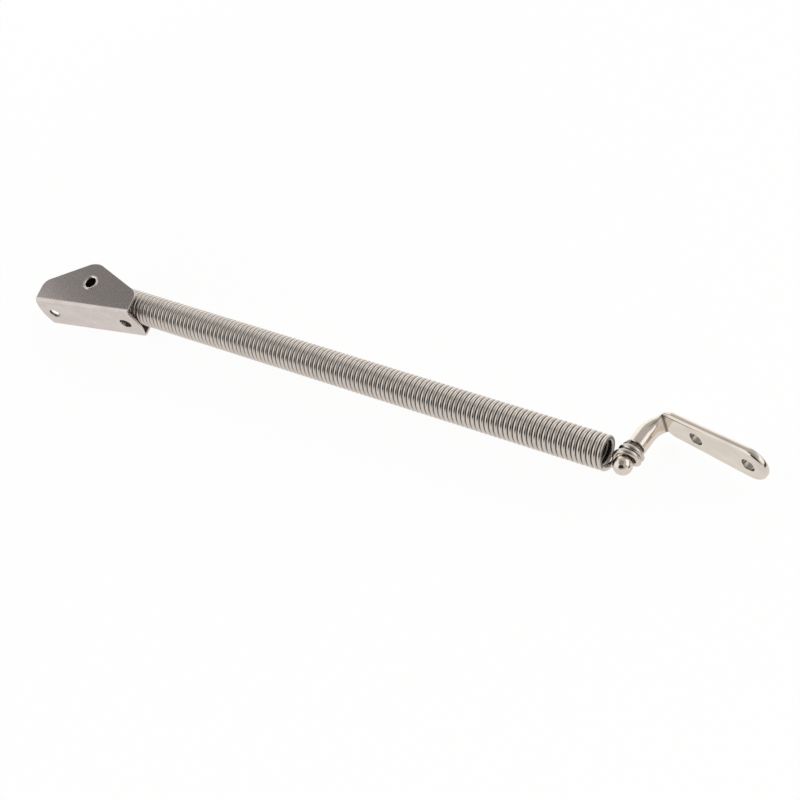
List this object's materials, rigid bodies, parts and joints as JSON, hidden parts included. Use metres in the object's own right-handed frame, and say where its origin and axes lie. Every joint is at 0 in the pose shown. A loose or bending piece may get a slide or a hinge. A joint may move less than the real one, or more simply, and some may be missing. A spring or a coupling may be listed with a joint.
{
  "type": "spring hatch stay",
  "caption": "Hatch stay made of a close-wound coil spring, pivoting on a rivet in a folded deck bracket, with a swivelling forged hatch bracket at its far end.",
  "frame": {"origin": "centre of the deck bracket's mounting face, midway between its two screw holes", "axes": "-Y looks out of the mounting face, +X runs along the bracket towards the spring, +Z runs along the rivet; the stay lies on its side as pictured"},
  "size_m": [0.292, 0.0483, 0.0176],
  "materials": {
    "satin_sheet": "satin",
    "spring_wire": "drawn, bright",
    "polished_steel": "polished",
    "polished_forging": "mirror polished"
  },
  "bodies": {
    "deck": {"deck_bracket": "satin_sheet", "pivot_rivet": "polished_steel"},
    "spring_01": {"rivet_loop": "spring_wire", "coil_01": "spring_wire"},
    "spring_02": {"coil_02": "spring_wire"},
    "spring_03": {"coil_03": "spring_wire"},
    "spring_04": {"coil_04": "spring_wire"},
    "spring_05": {"coil_05": "spring_wire"},
    "spring_06": {"coil_06": "spring_wire"},
    "spring_07": {"coil_07": "spring_wire"},
    "spring_08": {"coil_08": "spring_wire"},
    "spring_09": {"coil_09": "spring_wire"},
    "spring_10": {"coil_10": "spring_wire"},
    "spring_11": {"coil_11": "spring_wire"},
    "spring_12": {"coil_12": "spring_wire"},
    "spring_13": {"coil_13": "spring_wire"},
    "spring_14": {"coil_14": "spring_wire"},
    "spring_15": {"coil_15": "spring_wire"},
    "spring_16": {"coil_16": "spring_wire"},
    "spring_17": {"coil_17": "spring_wire"},
    "spring_18": {"coil_18": "spring_wire"},
    "spring_19": {"coil_19": "spring_wire"},
    "spring_20": {"coil_20": "spring_wire"},
    "spring_21": {"coil_21": "spring_wire"},
    "spring_22": {"coil_22": "spring_wire"},
    "spring_23": {"coil_23": "spring_wire"},
    "spring_24": {"coil_24": "spring_wire"},
    "spring_25": {"coil_25": "spring_wire"},
    "spring_26": {"coil_26": "spring_wire"},
    "spring_27": {"coil_27": "spring_wire"},
    "spring_28": {"coil_28": "spring_wire"},
    "spring_29": {"coil_29": "spring_wire"},
    "spring_30": {"coil_30": "spring_wire"},
    "spring_31": {"coil_31": "spring_wire"},
    "spring_32": {"coil_32": "spring_wire"},
    "spring_33": {"coil_33": "spring_wire"},
    "spring_34": {"coil_34": "spring_wire"},
    "spring_35": {"coil_35": "spring_wire"},
    "spring_36": {"coil_36": "spring_wire"},
    "spring_37": {"coil_37": "spring_wire"},
    "spring_38": {"coil_38": "spring_wire"},
    "spring_39": {"coil_39": "spring_wire", "hatch_loop": "spring_wire"},
    "hatch": {"hatch_bracket": "polished_forging"}
  },
  "joints": [
    {"name": "rivet_pivot", "type": "hinge", "parent": "deck", "child": "spring_01", "pos_m": [-0.0005, 0.0109, 0], "axis": [0, 0, 1], "range_deg": [0, 195]},
    {"name": "spring_bend", "type": "hinge", "parent": "spring_01", "child": "spring_02", "pos_m": [0.01316, 0.01401, 0], "axis": [0, 0, 1], "range_deg": [0, 4.74]},
    {"name": "bend_02", "type": "hinge", "parent": "spring_02", "child": "spring_03", "pos_m": [0.01855, 0.01319, 0], "axis": [0, 0, 1], "range_deg": [0, 4.79]},
    {"name": "bend_03", "type": "hinge", "parent": "spring_03", "child": "spring_04", "pos_m": [0.02393, 0.01238, 0], "axis": [0, 0, 1], "range_deg": [0, 4.79]},
    {"name": "bend_04", "type": "hinge", "parent": "spring_04", "child": "spring_05", "pos_m": [0.02932, 0.01156, 0], "axis": [0, 0, 1], "range_deg": [0, 4.79]},
    {"name": "bend_05", "type": "hinge", "parent": "spring_05", "child": "spring_06", "pos_m": [0.0347, 0.01075, 0], "axis": [0, 0, 1], "range_deg": [0, 4.79]},
    {"name": "bend_06", "type": "hinge", "parent": "spring_06", "child": "spring_07", "pos_m": [0.04008, 0.00994, 0], "axis": [0, 0, 1], "range_deg": [0, 4.79]},
    {"name": "bend_07", "type": "hinge", "parent": "spring_07", "child": "spring_08", "pos_m": [0.04547, 0.00912, 0], "axis": [0, 0, 1], "range_deg": [0, 4.79]},
    {"name": "bend_08", "type": "hinge", "parent": "spring_08", "child": "spring_09", "pos_m": [0.05085, 0.00831, 0], "axis": [0, 0, 1], "range_deg": [0, 4.79]},
    {"name": "bend_09", "type": "hinge", "parent": "spring_09", "child": "spring_10", "pos_m": [0.05623, 0.00749, 0], "axis": [0, 0, 1], "range_deg": [0, 4.79]},
    {"name": "bend_10", "type": "hinge", "parent": "spring_10", "child": "spring_11", "pos_m": [0.06162, 0.00668, 0], "axis": [0, 0, 1], "range_deg": [0, 4.79]},
    {"name": "bend_11", "type": "hinge", "parent": "spring_11", "child": "spring_12", "pos_m": [0.067, 0.00587, 0], "axis": [0, 0, 1], "range_deg": [0, 4.79]},
    {"name": "bend_12", "type": "hinge", "parent": "spring_12", "child": "spring_13", "pos_m": [0.07239, 0.00505, 0], "axis": [0, 0, 1], "range_deg": [0, 4.79]},
    {"name": "bend_13", "type": "hinge", "parent": "spring_13", "child": "spring_14", "pos_m": [0.07777, 0.00424, 0], "axis": [0, 0, 1], "range_deg": [0, 4.79]},
    {"name": "bend_14", "type": "hinge", "parent": "spring_14", "child": "spring_15", "pos_m": [0.08315, 0.00342, 0], "axis": [0, 0, 1], "range_deg": [0, 4.79]},
    {"name": "bend_15", "type": "hinge", "parent": "spring_15", "child": "spring_16", "pos_m": [0.08854, 0.00261, 0], "axis": [0, 0, 1], "range_deg": [0, 4.79]},
    {"name": "bend_16", "type": "hinge", "parent": "spring_16", "child": "spring_17", "pos_m": [0.09392, 0.00179, 0], "axis": [0, 0, 1], "range_deg": [0, 4.79]},
    {"name": "bend_17", "type": "hinge", "parent": "spring_17", "child": "spring_18", "pos_m": [0.0993, 0.00098, 0], "axis": [0, 0, 1], "range_deg": [0, 4.79]},
    {"name": "bend_18", "type": "hinge", "parent": "spring_18", "child": "spring_19", "pos_m": [0.10469, 0.00016, 0], "axis": [0, 0, 1], "range_deg": [0, 4.79]},
    {"name": "bend_19", "type": "hinge", "parent": "spring_19", "child": "spring_20", "pos_m": [0.11007, -0.00065, 0], "axis": [0, 0, 1], "range_deg": [0, 4.79]},
    {"name": "bend_20", "type": "hinge", "parent": "spring_20", "child": "spring_21", "pos_m": [0.11546, -0.00146, 0], "axis": [0, 0, 1], "range_deg": [0, 4.79]},
    {"name": "bend_21", "type": "hinge", "parent": "spring_21", "child": "spring_22", "pos_m": [0.12084, -0.00228, 0], "axis": [0, 0, 1], "range_deg": [0, 4.79]},
    {"name": "bend_22", "type": "hinge", "parent": "spring_22", "child": "spring_23", "pos_m": [0.12622, -0.00309, 0], "axis": [0, 0, 1], "range_deg": [0, 4.79]},
    {"name": "bend_23", "type": "hinge", "parent": "spring_23", "child": "spring_24", "pos_m": [0.13161, -0.00391, 0], "axis": [0, 0, 1], "range_deg": [0, 4.79]},
    {"name": "bend_24", "type": "hinge", "parent": "spring_24", "child": "spring_25", "pos_m": [0.13699, -0.00472, 0], "axis": [0, 0, 1], "range_deg": [0, 4.79]},
    {"name": "bend_25", "type": "hinge", "parent": "spring_25", "child": "spring_26", "pos_m": [0.14237, -0.00553, 0], "axis": [0, 0, 1], "range_deg": [0, 4.79]},
    {"name": "bend_26", "type": "hinge", "parent": "spring_26", "child": "spring_27", "pos_m": [0.14776, -0.00635, 0], "axis": [0, 0, 1], "range_deg": [0, 4.79]},
    {"name": "bend_27", "type": "hinge", "parent": "spring_27", "child": "spring_28", "pos_m": [0.15314, -0.00716, 0], "axis": [0, 0, 1], "range_deg": [0, 4.79]},
    {"name": "bend_28", "type": "hinge", "parent": "spring_28", "child": "spring_29", "pos_m": [0.15852, -0.00798, 0], "axis": [0, 0, 1], "range_deg": [0, 4.79]},
    {"name": "bend_29", "type": "hinge", "parent": "spring_29", "child": "spring_30", "pos_m": [0.16391, -0.00879, 0], "axis": [0, 0, 1], "range_deg": [0, 4.79]},
    {"name": "bend_30", "type": "hinge", "parent": "spring_30", "child": "spring_31", "pos_m": [0.16929, -0.00961, 0], "axis": [0, 0, 1], "range_deg": [0, 4.79]},
    {"name": "bend_31", "type": "hinge", "parent": "spring_31", "child": "spring_32", "pos_m": [0.17468, -0.01042, 0], "axis": [0, 0, 1], "range_deg": [0, 4.79]},
    {"name": "bend_32", "type": "hinge", "parent": "spring_32", "child": "spring_33", "pos_m": [0.18006, -0.01123, 0], "axis": [0, 0, 1], "range_deg": [0, 4.79]},
    {"name": "bend_33", "type": "hinge", "parent": "spring_33", "child": "spring_34", "pos_m": [0.18544, -0.01205, 0], "axis": [0, 0, 1], "range_deg": [0, 4.79]},
    {"name": "bend_34", "type": "hinge", "parent": "spring_34", "child": "spring_35", "pos_m": [0.19083, -0.01286, 0], "axis": [0, 0, 1], "range_deg": [0, 4.79]},
    {"name": "bend_35", "type": "hinge", "parent": "spring_35", "child": "spring_36", "pos_m": [0.19621, -0.01368, 0], "axis": [0, 0, 1], "range_deg": [0, 4.79]},
    {"name": "bend_36", "type": "hinge", "parent": "spring_36", "child": "spring_37", "pos_m": [0.20159, -0.01449, 0], "axis": [0, 0, 1], "range_deg": [0, 4.79]},
    {"name": "bend_37", "type": "hinge", "parent": "spring_37", "child": "spring_38", "pos_m": [0.20698, -0.0153, 0], "axis": [0, 0, 1], "range_deg": [0, 4.79]},
    {"name": "bend_38", "type": "hinge", "parent": "spring_38", "child": "spring_39", "pos_m": [0.21236, -0.01612, 0], "axis": [0, 0, 1], "range_deg": [0, 4.79]},
    {"name": "hatch_swivel", "type": "hinge", "parent": "spring_39", "child": "hatch", "pos_m": [0.22395, -0.02304, 0], "axis": [0.2369, 0.9603, -0.1474], "continuous": true}
  ],
  "couplings": [
    {"joint": "bend_02", "follows": "spring_bend", "ratio": 1},
    {"joint": "bend_03", "follows": "spring_bend", "ratio": 1},
    {"joint": "bend_04", "follows": "spring_bend", "ratio": 1},
    {"joint": "bend_05", "follows": "spring_bend", "ratio": 1},
    {"joint": "bend_06", "follows": "spring_bend", "ratio": 1},
    {"joint": "bend_07", "follows": "spring_bend", "ratio": 1},
    {"joint": "bend_08", "follows": "spring_bend", "ratio": 1},
    {"joint": "bend_09", "follows": "spring_bend", "ratio": 1},
    {"joint": "bend_10", "follows": "spring_bend", "ratio": 1},
    {"joint": "bend_11", "follows": "spring_bend", "ratio": 1},
    {"joint": "bend_12", "follows": "spring_bend", "ratio": 1},
    {"joint": "bend_13", "follows": "spring_bend", "ratio": 1},
    {"joint": "bend_14", "follows": "spring_bend", "ratio": 1},
    {"joint": "bend_15", "follows": "spring_bend", "ratio": 1},
    {"joint": "bend_16", "follows": "spring_bend", "ratio": 1},
    {"joint": "bend_17", "follows": "spring_bend", "ratio": 1},
    {"joint": "bend_18", "follows": "spring_bend", "ratio": 1},
    {"joint": "bend_19", "follows": "spring_bend", "ratio": 1},
    {"joint": "bend_20", "follows": "spring_bend", "ratio": 1},
    {"joint": "bend_21", "follows": "spring_bend", "ratio": 1},
    {"joint": "bend_22", "follows": "spring_bend", "ratio": 1},
    {"joint": "bend_23", "follows": "spring_bend", "ratio": 1},
    {"joint": "bend_24", "follows": "spring_bend", "ratio": 1},
    {"joint": "bend_25", "follows": "spring_bend", "ratio": 1},
    {"joint": "bend_26", "follows": "spring_bend", "ratio": 1},
    {"joint": "bend_27", "follows": "spring_bend", "ratio": 1},
    {"joint": "bend_28", "follows": "spring_bend", "ratio": 1},
    {"joint": "bend_29", "follows": "spring_bend", "ratio": 1},
    {"joint": "bend_30", "follows": "spring_bend", "ratio": 1},
    {"joint": "bend_31", "follows": "spring_bend", "ratio": 1},
    {"joint": "bend_32", "follows": "spring_bend", "ratio": 1},
    {"joint": "bend_33", "follows": "spring_bend", "ratio": 1},
    {"joint": "bend_34", "follows": "spring_bend", "ratio": 1},
    {"joint": "bend_35", "follows": "spring_bend", "ratio": 1},
    {"joint": "bend_36", "follows": "spring_bend", "ratio": 1},
    {"joint": "bend_37", "follows": "spring_bend", "ratio": 1},
    {"joint": "bend_38", "follows": "spring_bend", "ratio": 1}
  ]
}
